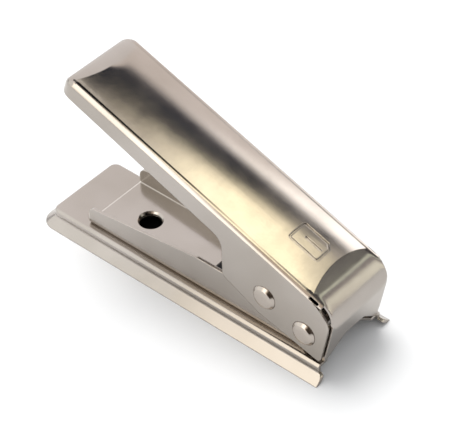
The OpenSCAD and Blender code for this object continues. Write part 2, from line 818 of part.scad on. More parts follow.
// Slot with round ends through the end of the fold
module relief_slot() {
    straight = relief_l - relief_w;
    translate([flap_bend_behind - relief_ahead - relief_l, lever_half - lever_fold_r,
        lever_top - lever_fold_r])
        rotate([-45, 0, 0]) linear_extrude(2 * lever_fold_r) {
            translate([relief_w / 2, -relief_w / 2]) square([straight, relief_w]);
            for (x = [relief_w / 2, relief_w / 2 + straight]) translate([x, 0]) circle(d = relief_w);
        }
}

// Outline of the arch in the flap's lower edge, seen along X
module arch_outline() {
    foot = flap_half - arch_foot_w;
    polygon(outline([
        [-foot, base_h - over, 0], [-foot, base_h, 0],
        [-arch_knee_w / 2, base_h + arch_knee_h, arch_r],
        [-arch_top_w / 2, base_h + arch_h, arch_r], [arch_top_w / 2, base_h + arch_h, arch_r],
        [arch_knee_w / 2, base_h + arch_knee_h, arch_r],
        [foot, base_h, 0], [foot, base_h - over, 0]
    ]));
}

// Pressed lines of the card mark
module card_mark() {
    translate([-mark_ahead - mark_l / 2, mark_y]) {
        difference() {
            polygon(card_outline(mark_l, mark_w, mark_line, mark_chamfer, mark_line / 2));
            polygon(card_outline(mark_l, mark_w, mark_line, mark_chamfer, -mark_line / 2));
        }
        translate([(mark_l - mark_bar_l) / 2 - mark_chamfer, 0]) {
            square([mark_bar_l, mark_line], center = true);
            for (x = [-mark_bar_l / 2, mark_bar_l / 2]) translate([x, 0]) circle(d = mark_line);
        }
    }
}

module lever_cover() {
    color("silver") difference() {
        raised() difference() {
            lever_form(0);
            lever_form(lever_t);
            for (side = [0, 1]) mirror([0, side, 0]) {
                flange_cut();
                relief_slot();
            }
            translate([-lever_ahead - over, -2 * lever_half, -3 * lever_top])
                cube([over + lever_corner_r, 4 * lever_half, 3 * lever_top + flange_front_w]);
            difference() {
                translate([0, 0, lever_top]) linear_extrude(2 * crown_h) card_mark();
                translate([0, 0, lever_top + crown_h - crown_r]) rotate([0, 90, 0])
                    cylinder(r = crown_r - mark_depth, h = lever_ahead, center = true, $fn = 4 * $fn);
            }
            cross_bar(pin_d + 2 * turning_fit, 4 * lever_half);
            translate([-drive_arm, 0, 0]) cross_bar(pin_d + 2 * fixed_fit, 4 * lever_half);
        }
        translate([pivot_x, -flap_half - over, -base_h])
            cube([2 * lever_half, 2 * (flap_half + over), 2 * base_h + seat_gap]);
        along(pivot_x, pivot_x + 2 * lever_half) arch_outline();
    }
}

// Punch

// The punch is the card's shape from its edge up to the bar, open for the drive tube
module punch() {
    slot_half_h = tube_r + slot_fit;
    slot_front = pivot_x - drive_arm - tube_r - tube_room;
    slot_rear = drive_x + tube_r + tube_room;
    color("dimgray") difference() {
        ahead(punch_ahead, punch_bottom) linear_extrude(punch_top - punch_bottom)
            polygon(card_outline(cut_l, cut_w, cut_corner_r, cut_chamfer));
        side_plate(2 * cut_w) polygon(outline([
            [slot_front, drive_z - slot_half_h, tube_r / 2], [slot_rear, drive_z - slot_half_h, tube_r / 2],
            [slot_rear, drive_z + slot_half_h, tube_r / 2], [slot_front, drive_z + slot_half_h, tube_r / 2]
        ]));
        bar_screw_places(punch_top - bar_screw_depth - fixed_fit)
            cylinder(d = screw_d + 2 * fixed_fit, h = bar_screw_depth + over);
    }
}

module bar_screw_places(z) {
    for (x = [-bar_screw_offset, bar_screw_offset]) ahead(punch_ahead + x, z) children();
}

// Bar across the punch, with its ends on the springs and round the posts
module punch_bar() {
    end_r = head_bar_w / 2;
    front = pivot_x - post_front_ahead;
    rear = pivot_x - post_rear_ahead;
    color("gray") difference() {
        union() {
            translate([front, -end_r, punch_top]) cube([rear - front, head_bar_w, head_bar_t]);
            translate([front, 0, punch_top]) cylinder(r = end_r, h = head_bar_t);
            translate([rear, 0, punch_top]) cylinder(r = end_r, h = head_bar_t);
        }
        for (x = [front, rear]) translate([x, 0, punch_top - over])
            cylinder(d = post_d + 2 * turning_fit, h = head_bar_t + 2 * over);
        bar_screw_places(punch_top - over) cylinder(d = screw_d + 2 * loose_fit, h = head_bar_t + 2 * over);
    }
}

module bar_screws() {
    color("lightgray") bar_screw_places(bar_top) rotate([180, 0, 0]) screw(head_bar_t + bar_screw_depth);
}

// Springs

// Middle of the wire at a ring, counted from the spring's lower end
function coil_point(i) =
    let (a = 360 * i / rings_per_turn, r = (spring_d - wire_d) / 2)
    [r * cos(a), r * sin(a), wire_d / 2 + i * coil_rise];

// Least gap from the wire to its own next turns, between rings over half a turn apart
function least_gap(rings) = min([for (i = [0:rings], j = [i + rings_per_turn / 2 + 1:rings])
    norm(coil_point(i) - coil_point(j))]) - wire_d;

// Points round the wire at a ring
function wire_ring(i) =
    let (
        a = 360 * i / rings_per_turn,
        c = coil_point(i),
        out = [cos(a), sin(a), 0],
        way = unit(coil_point(i + 1) - coil_point(i - 1)),
        up = cross(out, way)
    )
    [for (j = [0:wire_sides - 1])
        c + wire_d / 2 * (out * cos(360 * j / wire_sides) + up * sin(360 * j / wire_sides))];

// Return spring as one unbroken wire, standing on zero
module return_spring() {
    rings = spring_turns * rings_per_turn;
    points = [for (i = [0:rings]) each wire_ring(i)];
    last = rings * wire_sides;
    sides = [for (i = [0:rings - 1], j = [0:wire_sides - 1])
        let (a = i * wire_sides + j, b = i * wire_sides + (j + 1) % wire_sides)
        each [[a, b, b + wire_sides], [a, b + wire_sides, a + wire_sides]]];
    caps = [for (j = [1:wire_sides - 2]) each [[0, j + 1, j], [last, last + j, last + j + 1]]];
    polyhedron(points, concat(sides, caps));
}

module spring_on(distance) {
    color("lightgray") ahead(distance, guide_z + fixed_fit) return_spring();
}

base_plate();
frame_channel();
die_block();
card_guide();  // guide_left
mirror([0, 1, 0]) card_guide();  // guide_right
card_stop();
punch_guide();
die_screws();
dowels();
guide_posts();
pivot_pin();
pivot_tube();
pivot_washers();
lever_cover();
drive_pin();
drive_tube();
punch();
punch_bar();
bar_screws();
spring_on(post_front_ahead);  // spring_front
spring_on(post_rear_ahead);  // spring_rear
echo(spring_gap = least_gap(spring_turns * rings_per_turn));
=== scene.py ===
import math

import bmesh
import bpy
import numpy as np
from mathutils import Matrix, Vector


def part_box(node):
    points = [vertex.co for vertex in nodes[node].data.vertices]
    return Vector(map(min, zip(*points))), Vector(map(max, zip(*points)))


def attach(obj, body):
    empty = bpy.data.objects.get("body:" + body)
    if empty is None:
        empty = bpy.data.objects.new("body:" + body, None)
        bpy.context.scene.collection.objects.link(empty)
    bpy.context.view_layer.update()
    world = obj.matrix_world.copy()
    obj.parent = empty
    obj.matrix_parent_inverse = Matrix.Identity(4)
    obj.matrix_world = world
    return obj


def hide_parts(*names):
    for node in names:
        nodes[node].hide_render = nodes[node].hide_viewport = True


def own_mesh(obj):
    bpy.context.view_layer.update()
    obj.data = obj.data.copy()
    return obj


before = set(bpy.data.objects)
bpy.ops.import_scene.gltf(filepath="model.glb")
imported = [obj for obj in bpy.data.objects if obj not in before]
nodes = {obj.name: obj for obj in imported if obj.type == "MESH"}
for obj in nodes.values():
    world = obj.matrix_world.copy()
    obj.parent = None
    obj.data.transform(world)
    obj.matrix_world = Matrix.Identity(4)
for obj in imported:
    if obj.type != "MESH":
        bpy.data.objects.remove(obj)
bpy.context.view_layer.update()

MM = 0.001
# the hinge pin's place, and how far the lever is raised at rest
PIVOT = Vector((43.681, 0, 13.5)) * MM
REST = math.radians(19.3)
scene = bpy.context.scene


# ---------------------------------------------------------------- node helper
class Tree:
    """Short ways to add shader nodes to one material or world."""

    def __init__(self, owner):
        owner.use_nodes = True
        self.nodes = owner.node_tree.nodes
        self.links = owner.node_tree.links
        self.nodes.clear()

    def put(self, socket, value):
        if isinstance(value, bpy.types.NodeSocket):
            self.links.new(value, socket)
        else:
            socket.default_value = value

    def node(self, kind, inputs=None, **settings):
        n = self.nodes.new(kind)
        for key, value in settings.items():
            setattr(n, key, value)
        for key, value in (inputs or {}).items():
            self.put(n.inputs[key], value)
        return n

    def math(self, operation, a, b=0.0):
        return self.node("ShaderNodeMath", {0: a, 1: b}, operation=operation).outputs[0]

    def times(self, a, b):
        return self.math("MULTIPLY", a, b)

    def plus(self, a, b):
        return self.math("ADD", a, b)

    def remap(self, value, low, high, to_low=0.0, to_high=1.0, **settings):
        inputs = {0: value, 1: low, 2: high, 3: to_low, 4: to_high}
        return self.node("ShaderNodeMapRange", inputs, **settings).outputs[0]

    def step(self, value, low, high):
        """A soft step, from 0 at low to 1 at high."""
        return self.remap(value, low, high, interpolation_type="SMOOTHERSTEP")

    def mix(self, factor, a, b):
        n = self.node("ShaderNodeMix", data_type="RGBA")
        self.put(n.inputs[0], factor)
        self.put(n.inputs[6], a)
        self.put(n.inputs[7], b)
        return n.outputs[2]

    def coords(self, scale=(1, 1, 1)):
        place = self.node("ShaderNodeTexCoord").outputs["Object"]
        return self.node("ShaderNodeMapping", {"Vector": place, "Scale": scale}).outputs[0]

    def xyz(self):
        """A point's three coordinates, which for every object here are the part's own at rest."""
        place = self.node("ShaderNodeTexCoord").outputs["Object"]
        return self.node("ShaderNodeSeparateXYZ", {0: place}).outputs

    def noise(self, scale, detail=2.0, roughness=0.5, stretch=(1, 1, 1)):
        inputs = {
            "Vector": self.coords(stretch),
            "Scale": scale,
            "Detail": detail,
            "Roughness": roughness,
        }
        return self.node("ShaderNodeTexNoise", inputs).outputs["Fac"]

    def surface(self, kind, output, inputs):
        """Ends the tree: a shader of this kind, and the output that shows it."""
        shader = self.node(kind, inputs)
        self.node(output, {"Surface": shader.outputs[0]})


def rgb(r, g, b):
    return (r, g, b, 1.0)


def add_object(name, mesh, material):
    mesh.materials.append(material)
    obj = bpy.data.objects.new(name, mesh)
    scene.collection.objects.link(obj)
    return obj


# -------------------------------------------------------------- plated steel
# Painted shade: the dark line in the lever's near crease. The distances from the middle over which
# it comes and goes, its height above the pivot square to the lever, and where along x it fades to
# the rear.
CREASE_COMES, CREASE_GOES = (11.12 * MM, 11.24 * MM), (11.80 * MM, 11.66 * MM)
CREASE_HEIGHT, CREASE_BLUR = 13.6 * MM, 0.05 * MM
CREASE_FADES, CREASE_SHARE = (2 * MM, 26 * MM), 0.93
CREASE_SHADE_COLOUR = rgb(0.02, 0.018, 0.017)

# The painted highlight along the channel's front edge: where along x it comes, how strongly, and
# its colour.
HIGHLIGHT_COMES, HIGHLIGHT_SHARE = (-35.95 * MM, -36.12 * MM), 0.5
HIGHLIGHT_COLOUR = rgb(0.88, 0.84, 0.78)

# Every plating. Scales are those of noise over metres. A pair named RANGE is where a mark starts
# and where it is full, in the noise or in the measure that it comes from.
TONE_SCALE, TONE_RANGE = 28, (0.38, 0.68)
# the ambient-occlusion mask: painted shade in creases, and the roughness of their grime
SHADE_AND_GRIME_REACH, SHADE_AND_GRIME_RANGE, SHADE_AND_GRIME_SHARE = 1.2 * MM, (0.75, 0.25), 0.6
HOLLOW_SHADE_TINT, GRIME_ROUGH = (0.16, 0.14, 0.12), 0.25
# the edges' brightening: partly wear, partly a painted highlight
EDGE_RADIUS, EDGE_RANGE, EDGE_TINT = 0.35 * MM, (0.995, 0.90), 1.35
WEAR_AND_HIGHLIGHT_SCALE, WEAR_AND_HIGHLIGHT_RANGE = 420, (0.35, 0.6)
ROLLED_SCALE, ROLLED_STRETCH, ROLLED_RANGE = 260, (1, 14, 14), (0.3, 0.7)
ROLLED_LEAST, ROLLED_MOST = 0.85, 1.2
PATCH_SCALE, PATCH_RANGE, PATCH_ROUGH = 70, (0.35, 0.7), 0.08
BUMP_STRENGTH, BUMP_DEPTH = 0.35, 0.10 * MM
# what the bump is made of, each with its scale, its stretch and its share of the height
FINE_MARKS = 1600, (1, 1, 1), 0.035
DENTS = 150, (1, 1, 1), 0.5
BRUSH_MARKS = 1100, (1, 0.05, 1), 0.05


def painted_crease_shade(t, colour):
    """Painted shade: a dark line in the near crease between the crown and the fold, less so to the
    rear.
    """
    x, y, z = t.xyz()
    side = t.times(y, -1)
    line = t.times(t.remap(side, *CREASE_COMES), t.remap(side, *CREASE_GOES))
    rise = t.plus(t.times(x, math.sin(REST)), t.times(z, math.cos(REST)))
    top = PIVOT.x * math.sin(REST) + PIVOT.z * math.cos(REST) + CREASE_HEIGHT
    line = t.times(line, t.remap(rise, top, top + CREASE_BLUR))
    line = t.times(line, t.remap(x, *CREASE_FADES, CREASE_SHARE, 0.0))
    return t.mix(line, colour, CREASE_SHADE_COLOUR)


def painted_channel_highlight(t, colour):
    """Painted highlight: a bright line along the channel's front edge."""
    x, _, _ = t.xyz()
    line = t.remap(x, *HIGHLIGHT_COMES)
    return t.mix(t.times(line, HIGHLIGHT_SHARE), colour, HIGHLIGHT_COLOUR)


def plated(name, tint, stain, rough, wear_and_highlight=0.5, painted_light=None):
    """Plated steel: soft tone changes, rolling marks, fine dimples, edges brightened by wear and by
    a painted highlight, painted shade in creases, and the painted light that it is given.
    """
    material = bpy.data.materials.new(name)
    t = Tree(material)
    tone = t.noise(TONE_SCALE, detail=3.0, roughness=0.55)
    colour = t.mix(t.remap(tone, *TONE_RANGE), rgb(*tint), rgb(*stain))
    # painted light of this plating alone, such as the lever's crease shade or the channel's edge
    # highlight
    if painted_light:
        colour = painted_light(t, colour)

    # painted shade in creases and hollows, where ambient occlusion finds them shut in; the same
    # mask makes them rougher below, as grime
    hollow = t.node(
        "ShaderNodeAmbientOcclusion", {"Distance": SHADE_AND_GRIME_REACH}, samples=8, only_local=True
    ).outputs["AO"]
    shade_and_grime = t.times(t.remap(hollow, *SHADE_AND_GRIME_RANGE), SHADE_AND_GRIME_SHARE)
    shaded_tint = (part * share for part, share in zip(tint, HOLLOW_SHADE_TINT))
    colour = t.mix(shade_and_grime, colour, rgb(*shaded_tint))

    # edges, brightened by handling wear and by a painted highlight
    soft = t.node("ShaderNodeBevel", {"Radius": EDGE_RADIUS}, samples=6).outputs[0]
    sharp = t.node("ShaderNodeNewGeometry").outputs["Normal"]
    bend = t.node(
        "ShaderNodeVectorMath", {0: soft, 1: sharp}, operation="DOT_PRODUCT"
    ).outputs["Value"]
    edge = t.times(t.remap(bend, *EDGE_RANGE), wear_and_highlight)
    edge = t.times(edge, t.remap(t.noise(WEAR_AND_HIGHLIGHT_SCALE), *WEAR_AND_HIGHLIGHT_RANGE))
    bright = (min(1, part * EDGE_TINT) for part in tint)
    colour = t.mix(edge, colour, rgb(*bright))

    # rolling marks along the sheet, duller patches and the creases' grime
    rolled = t.noise(ROLLED_SCALE, detail=3.0, roughness=0.6, stretch=ROLLED_STRETCH)
    patchy = t.noise(PATCH_SCALE, detail=3.0, roughness=0.6)
    roughness = t.plus(
        t.remap(rolled, *ROLLED_RANGE, rough * ROLLED_LEAST, rough * ROLLED_MOST),
        t.remap(patchy, *PATCH_RANGE, 0.0, PATCH_ROUGH),
    )
    roughness = t.plus(roughness, t.times(shade_and_grime, GRIME_ROUGH))

    fine, dents, brushed = (
        t.times(t.noise(scale, stretch=stretch), share)
        for scale, stretch, share in (FINE_MARKS, DENTS, BRUSH_MARKS)
    )
    height = t.plus(t.plus(fine, dents), brushed)
    bump = t.node(
        "ShaderNodeBump",
        {"Strength": BUMP_STRENGTH, "Distance": BUMP_DEPTH, "Height": height, "Normal": soft},
    ).outputs[0]
    t.surface(
        "ShaderNodeBsdfPrincipled",
        "ShaderNodeOutputMaterial",
        {"Base Color": colour, "Metallic": 1.0, "Roughness": roughness, "Normal": bump},
    )
    return material


# Each plating's tint, the tone that it drifts to, and its roughness.
NICKEL = (0.44, 0.402, 0.37), (0.375, 0.338, 0.30), 0.13
INNER = (0.40, 0.36, 0.325), (0.34, 0.30, 0.27), 0.17
RIVET = (0.50, 0.455, 0.415), (0.45, 0.40, 0.355), 0.14
BLACKENED = (0.024, 0.024, 0.026), (0.016, 0.016, 0.017), 0.4
ZINC = (0.42, 0.43, 0.45), (0.38, 0.39, 0.38), 0.22
WIRE = (0.34, 0.34, 0.35), (0.29, 0.28, 0.28), 0.2

nickel = plated("nickel_plate", *NICKEL)
# these two carry painted light: shade in the lever's crease, a highlight on the channel's front
# edge
lever_nickel = plated("nickel_lever", *NICKEL, painted_light=painted_crease_shade)
channel_nickel = plated("nickel_channel", *NICKEL, painted_light=painted_channel_highlight)
nickel_inner = plated("nickel_inner", *INNER)
rivet_steel = plated("rivet_nickel", *RIVET, wear_and_highlight=0.3)
tool_steel = plated("blackened_tool_steel", *BLACKENED, wear_and_highlight=0.7)
screw_steel = plated("screw_zinc", *ZINC)
spring_steel = plated("spring_wire", *WIRE)

# The CAD nodes' materials. Those that a skin or a coil replaces below have theirs here too.
FINISH = {
    nickel: ("base_plate", "frame_channel", "lever_cover"),
    nickel_inner: ("pivot_tube", "pivot_washers", "drive_tube", "punch_bar", "guide_posts"),
    rivet_steel: ("pivot_pin", "drive_pin"),
    tool_steel: (
        "die_block", "punch", "punch_guide", "guide_left", "guide_right", "card_stop", "dowels",
    ),
    screw_steel: ("die_screws", "bar_screws"),
    spring_steel: ("spring_front", "spring_rear"),
}
for material, names in FINISH.items():
    for name in names:
        slots = nodes[name].data.materials
        slots.clear()
        slots.append(material)


# ------------------------------------------------------- smooth pressed sheet
# The largest step in degrees, between two faces that meet, that counts as one rounded surface:
# in the lever's front corners, elsewhere on the lever, and on the other pieces.
CORNER_STEP, LEVER_STEP, PLAIN_STEP = 34, 15.4, 16.4
CORNER_AHEAD, CORNER_SIDE = 90.9 * MM, 9.3 * MM
# how alike the normals of two triangles of one flat face are, and how close two equal points lie
SAME_FACE = 0.99999
WELD, SLIVER = 0.0005 * MM, 0.0002 * MM

# The crown's ends, which the photograph shows softer than the CAD's bends. Distances are along
# the lever, square to it or sideways, as along_lever() gives them, and UP and FORWARD are parts
# of a face's normal, as lever_parts() gives them.
LEVER_TOP = 14.0 * MM
SOFT_FOOT, SOFT_EDGE, SOFT_CELL = 5.0 * MM, 0.9 * MM, 0.5 * MM
SOFT_ROUNDS = 6
SOFT_REAR, SOFT_FRONT, SOFT_FRONT_END = 7.0 * MM, 79.0 * MM, 95.0 * MM
REAR_LEAST_UP, REAR_MOST_FORWARD, FRONT_LEAST_UP = -0.05, 0.2, 0.2

# The rear bend: its centre and radius in the CAD, the rounder radius that it is shaded with, and
# the dips in degrees of the two faces that it joins.
BEND_CENTRE, BEND_R, BEND_LOOK_R = (-0.1 * MM, 8.0 * MM), 6.0 * MM, 12.5 * MM
SLOPE_DIP, FLAP_TURN = 17.2, 80.5
# The faces that are shaded so: all that look back by this much, and the crown's last level strip.
BEND_FORWARD = -0.09
LEVEL_FORWARD, LEVEL_RISE, LEVEL_AHEAD = 0.01, 0.03 * MM, 5.6 * MM
# where the rounder shading fades out towards the sides, and in above the foot of the flap
BEND_SIDE, BEND_HEIGHT = (10.4 * MM, 12.4 * MM), (5.5 * MM, 7.5 * MM)

# The front crease: how far each normal is blended, what counts as beyond the crease, where the
# crease is lost across y, and where the blend fades at the sides, behind and in front.
FRONT_SPREAD = 1.9 * MM
BEYOND_FORWARD, BEYOND_AHEAD = 0.08, 92 * MM
CREASE_LOST = (-4 * MM, 2 * MM)
FRONT_SIDE = (10.2 * MM, 11.6 * MM)
FRONT_STARTS, FRONT_STOPS = (79 * MM, 83 * MM), (93 * MM, 94.5 * MM)


def soft_centre():
    """The centre of the rounder bend that touches the same two faces as the CAD's bend."""
    a, b = math.radians(SLOPE_DIP), math.radians(FLAP_TURN)
    inward = (BEND_LOOK_R - BEND_R) / (1 + math.cos(b - a))
    return (
        BEND_CENTRE[0] + inward * (math.sin(a) + math.sin(b)),
        BEND_CENTRE[1] - inward * (math.cos(a) + math.cos(b)),
    )


SOFT_CENTRE = soft_centre()


def along_lever(place):
    """Distance ahead of the pivot, sideways and up from it, in the lever's own directions."""
    p = place - PIVOT
    ahead = -p.x * math.cos(REST) + p.z * math.sin(REST)
    return ahead, abs(p.y), p.x * math.sin(REST) + p.z * math.cos(REST)


def lever_steps(place):
    """The largest step between two faces of the lever that the press has rounded away there."""
    ahead, side, _ = along_lever(place)
    corner = ahead > CORNER_AHEAD and side > CORNER_SIDE
    return math.radians(CORNER_STEP if corner else LEVER_STEP)


def plain_steps(place):
    """The same for the other pieces, where it is the same everywhere."""
    return math.radians(PLAIN_STEP)


def regions(bm):
    """The flat face that each triangle belongs to, and the area of each flat face."""
    owner, areas = {}, []
    for start in bm.faces:
        if start in owner:
            continue
        stack, area = [start], 0.0
        owner[start] = len(areas)
        while stack:
            face = stack.pop()
            area += face.calc_area()
            for edge in face.edges:
                for other in edge.link_faces:
                    if other not in owner and other.normal.dot(start.normal) > SAME_FACE:
                        owner[other] = len(areas)
                        stack.append(other)
        areas.append(area)
    return owner, areas


def ramp(value, low, high):
    """A soft step, from 0 at low to 1 at high."""
    share = np.clip((value - low) / (high - low), 0, 1)
    return share * share * (3 - 2 * share)


def lever_parts(direction):
    """A direction's forward and upward parts, in the lever's own directions."""
    forward = -direction[0] * math.cos(REST) + direction[2] * math.sin(REST)
    return forward, direction[0] * math.sin(REST) + direction[2] * math.cos(REST)


def soft_place(face):
    """Which end of the crown a face belongs to: rear, front, or None elsewhere and inside."""
    ahead, _, height = along_lever(face.calc_center_median())
    forward, up = lever_parts(face.normal)
    if height <= SOFT_FOOT:
        return None
    if ahead < SOFT_REAR and up > REAR_LEAST_UP and forward < REAR_MOST_FORWARD:
        return "rear"
    if SOFT_FRONT < ahead < SOFT_FRONT_END and up > FRONT_LEAST_UP:
        return "front"
    return None


def turned_round_bend(place, own):
    """The normal of a wide round bend from the crown's rear slope to the rear flap."""
    ahead, side, height = along_lever(place)
    turn = math.atan2(SOFT_CENTRE[0] - ahead, height - SOFT_CENTRE[1])
    turn = min(max(turn, math.radians(SLOPE_DIP)), math.radians(FLAP_TURN))
    back, up = math.sin(turn), math.cos(turn)
    blend = Vector((
        back * math.cos(REST) + up * math.sin(REST),
        0,
        up * math.cos(REST) - back * math.sin(REST),
    ))
    share = (1 - ramp(side, *BEND_SIDE)) * ramp(height, *BEND_HEIGHT)
    return (own * (1 - share) + blend * share).normalized()


def soften_front(faces, layer):
    """Rounds the crease at the crown's front: each normal is blended with those around it."""
    # the normals are gathered in small cells, kept apart on the two sides of the crease
    sums = {}
    beyond = {}
    for face in faces:
        centre = face.calc_center_median()
        forward, _ = lever_parts(face.normal)
        beyond[face] = forward > BEYOND_FORWARD or along_lever(centre)[0] > BEYOND_AHEAD
        own = sum((loop[layer] for loop in face.loops), Vector()).normalized()
        key = tuple(round(c / SOFT_CELL) for c in centre) + (beyond[face],)
        area = face.calc_area()
        total = sums.setdefault(key, [0.0, Vector(), Vector()])
        total[0] += area
        total[1] += centre * area
        total[2] += own * area
    centres = np.array([total[1] / total[0] for total in sums.values()])
    turned = np.array([total[2] for total in sums.values()])
    over = np.array([key[3] for key in sums])

    done = {}
    for face in faces:
        for loop in face.loops:
            key = (loop.vert, beyond[face])
            if key not in done:
                place = np.array(loop.vert.co)
                gap = ((centres - place) ** 2).sum(1)
                weight = np.exp(-gap / (2 * FRONT_SPREAD ** 2))
                # the far half has no crease left
                across = float(ramp(place[1], *CREASE_LOST))
                weight = weight * np.where(over == beyond[face], 1.0, across)
                blend = Vector((turned * weight[:, None]).sum(0)).normalized()
                ahead, side, _ = along_lever(loop.vert.co)
                share = (1 - ramp(side, *FRONT_SIDE)) * ramp(ahead, *FRONT_STARTS)
                done[key] = blend, share * (1 - ramp(ahead, *FRONT_STOPS))
            blend, share = done[key]
            loop[layer] = (loop[layer] * (1 - share) + blend * share).normalized()


def soften(bm, layer):
    """Turns the crown's two pressed ends more gently than their few facets do."""
    forward_way = Vector((-math.cos(REST), 0, math.sin(REST)))
    for ahead in (SOFT_REAR, SOFT_FRONT):
        every = list(bm.verts) + list(bm.edges) + list(bm.faces)
        bmesh.ops.bisect_plane(
            bm, geom=every, plane_co=PIVOT + forward_way * ahead, plane_no=forward_way
        )
    bmesh.ops.triangulate(bm, faces=bm.faces)
    for _ in range(SOFT_ROUNDS):
        soft = [face for face in bm.faces if soft_place(face)]
        # keys of a dict, and not a set, so that the order is the same each run
        long = list(dict.fromkeys(
            edge for face in soft for edge in face.edges if edge.calc_length() > SOFT_EDGE
        ))
        if not long:
            break
        bmesh.ops.subdivide_edges(bm, edges=long, cuts=1)
        bmesh.ops.triangulate(bm, faces=bm.faces)
    bm.normal_update()

    front = []
    for face in bm.faces:
        zone = soft_place(face)
        if zone == "front":
            front.append(face)
        if zone != "rear":
            continue
        ahead, _, height = along_lever(face.calc_center_median())
        forward, _ = lever_parts(face.normal)
        level = abs(forward) < LEVEL_FORWARD and height < LEVER_TOP + LEVEL_RISE
        if forward < BEND_FORWARD or (level and ahead < LEVEL_AHEAD):
            for loop in face.loops:
                loop[layer] = turned_round_bend(loop.vert.co, loop[layer])
    soften_front(front, layer)


def skin(name, node, body, material, steps, ends=False):
    """The node's own form, its bends rounded smooth: flat faces stay flat, arcs turn evenly."""
    bm = bmesh.new()
    bm.from_mesh(nodes[node].data)
    bmesh.ops.remove_doubles(bm, verts=bm.verts, dist=WELD)
    bmesh.ops.dissolve_degenerate(bm, edges=bm.edges, dist=SLIVER)
    bm.normal_update()
    bm.faces.ensure_lookup_table()
    owner, areas = regions(bm)
    layer = bm.loops.layers.float_vector.new("turned")
    for face in bm.faces:
        for loop in face.loops:
            limit = math.cos(steps(loop.vert.co))
            total, seen = Vector(), set()
            for other in loop.vert.link_faces:
                if owner[other] not in seen and other.normal.dot(face.normal) > limit:
                    seen.add(owner[other])
                    total += other.normal * areas[owner[other]]
            loop[layer] = total.normalized() if total.length > 0 else face.normal.copy()
    if ends:
        soften(bm, layer)
    normals = [loop[layer].normalized() for face in bm.faces for loop in face.loops]
    bm.loops.layers.float_vector.remove(layer)
    mesh = bpy.data.meshes.new(name)
    bm.to_mesh(mesh)
    bm.free()
    mesh.polygons.foreach_set("use_smooth", [True] * len(mesh.polygons))
    mesh.normals_split_custom_set(normals)
    piece = add_object(name, mesh, material)
    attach(piece, body)
    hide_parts(node)


skin("pressed_base", "base_plate", "frame", nickel, plain_steps)
skin("pressed_channel", "frame_channel", "frame", channel_nickel, plain_steps)
skin("pressed_lever", "lever_cover", "lever", lever_nickel, lever_steps, ends=True)
skin("rivet_rear", "pivot_pin", "frame", rivet_steel, plain_steps)
skin("rivet_front", "drive_pin", "lever", rivet_steel, plain_steps)


# -------------------------------------------------------------------- springs
SPRING_D, WIRE_D, TURNS = 3.6 * MM, 0.5 * MM, 7
# how many points go along each turn of the coil, and round the wire
PER_TURN, SIDES = 48, 14


def coil(name, node):
    """An open coil of round wire, as high as the node that it replaces."""
    low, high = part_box(node)
    centre = (low + high) / 2
    radius = (SPRING_D - WIRE_D) / 2
    bottom, height = low.z + WIRE_D / 2, high.z - low.z - WIRE_D
    rings = TURNS * PER_TURN
    slope = height / (TURNS * 2 * math.pi * radius)
    verts, faces = [], []
    for i in range(rings + 1):
        a = 2 * math.pi * i / PER_TURN
        out = Vector((math.cos(a), math.sin(a), 0))
        way = Vector((-math.sin(a), math.cos(a), slope)).normalized()
        up = out.cross(way)
        middle = Vector((centre.x, centre.y, bottom + height * i / rings)) + out * radius
        for j in range(SIDES):
            b = 2 * math.pi * j / SIDES
            verts.append(middle + (out * math.cos(b) + up * math.sin(b)) * WIRE_D / 2)
    for i in range(rings):
        for j in range(SIDES):
            a, b = i * SIDES + j, i * SIDES + (j + 1) % SIDES
            faces.append((a, b, b + SIDES, a + SIDES))
    faces.append(tuple(reversed(range(SIDES))))
    faces.append(tuple(rings * SIDES + j for j in range(SIDES)))
    mesh = bpy.data.meshes.new(name)
    mesh.from_pydata(verts, [], faces)
    mesh.polygons.foreach_set("use_smooth", [True] * len(mesh.polygons))
    piece = add_object(name, mesh, spring_steel)
    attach(piece, "frame")
    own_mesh(piece)
    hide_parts(node)


coil("coil_front", "spring_front")
coil("coil_rear", "spring_rear")


# ------------------------------------------------------------------ the stage
FLOOR_REACH, FLOOR_SCALE = 6.0, 60
FLOOR_TONES = rgb(0.90, 0.905, 0.915), rgb(0.92, 0.925, 0.93)
# the painted shadow under the foot plate: where it starts and is full, from the middle outwards
UNDER_X, UNDER_Y = (0.044, 0.040), (0.0125, 0.0085)
UNDER_SHADOW_COLOUR = rgb(0.012, 0.012, 0.013)
WORLD_COLOUR, WORLD_STRENGTH = rgb(0.98, 0.99, 1.0), 0.72
KEY_PLACE, KEY_TOWARDS = (-200, 100, 600), (0, 0, 20)
KEY_SIZE, KEY_POWER, KEY_COLOUR = (420, 420), 3.0, (1.0, 0.99, 0.97)


def pale_floor():
    """Pale paper, with a painted shadow right under the foot plate, where hardly any light comes.
    """
    material = bpy.data.materials.new("pale_floor")
    t = Tree(material)
    shade = t.mix(t.noise(FLOOR_SCALE, detail=3.0), *FLOOR_TONES)
    x, y, _ = t.xyz()
    inside_x = t.remap(t.math("ABSOLUTE", x), *UNDER_X)
    inside_y = t.remap(t.math("ABSOLUTE", y), *UNDER_Y)
    shade = t.mix(t.times(inside_x, inside_y), shade, UNDER_SHADOW_COLOUR)
    t.surface(
        "ShaderNodeBsdfPrincipled",
        "ShaderNodeOutputMaterial",
        {"Base Color": shade, "Roughness": 0.75, "Specular IOR Level": 0.2},
    )
    return material


def floor(reach):
    mesh = bpy.data.meshes.new("floor")
    corners = [(-reach, -reach, 0), (reach, -reach, 0), (reach, reach, 0), (-reach, reach, 0)]
    mesh.from_pydata(corners, [], [(0, 1, 2, 3)])
    obj = add_object("floor", mesh, pale_floor())


def studio_world():
    world = bpy.data.worlds.new("studio")
    scene.world = world
    Tree(world).surface(
        "ShaderNodeBackground",
        "ShaderNodeOutputWorld",
        {"Color": WORLD_COLOUR, "Strength": WORLD_STRENGTH},
    )


